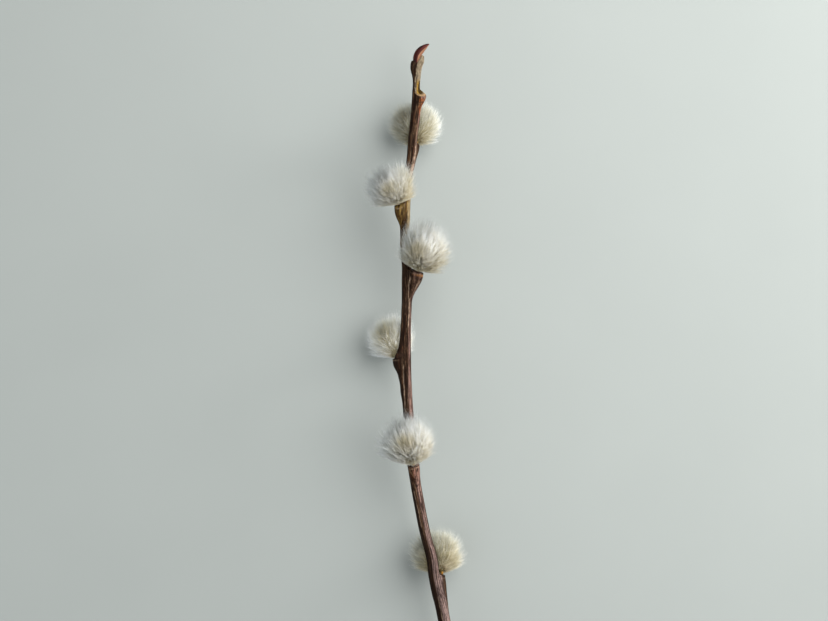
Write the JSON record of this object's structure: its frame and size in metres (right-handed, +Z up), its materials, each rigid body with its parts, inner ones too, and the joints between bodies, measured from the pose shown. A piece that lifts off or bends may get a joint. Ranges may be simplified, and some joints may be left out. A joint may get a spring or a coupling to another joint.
{
  "type": "pussy willow branch",
  "caption": "Cut pussy willow branch, lying flat, with silky catkins on leaf cushions and a claw-shaped bud at its tip.",
  "frame": {"origin": "centre of the base of the bounding box, on the surface that the branch lies on", "axes": "+Y along the branch towards its tip, +Z up from the surface, +X to the right as the picture shows the branch with its tip up"},
  "size_m": [0.036, 0.227, 0.0279],
  "materials": {
    "bark": "purplish brown bark with tan streaks, satin",
    "bud_scale": "dark red, waxy",
    "catkin_hair": "silky silver-white hair, matt"
  },
  "bodies": {
    "root": {"stem": "bark", "tip_bud": "bud_scale", "catkin_1": "catkin_hair", "catkin_2": "catkin_hair", "catkin_3": "catkin_hair", "catkin_4": "catkin_hair", "catkin_5": "catkin_hair", "catkin_6": "catkin_hair"}
  },
  "joints": []
}
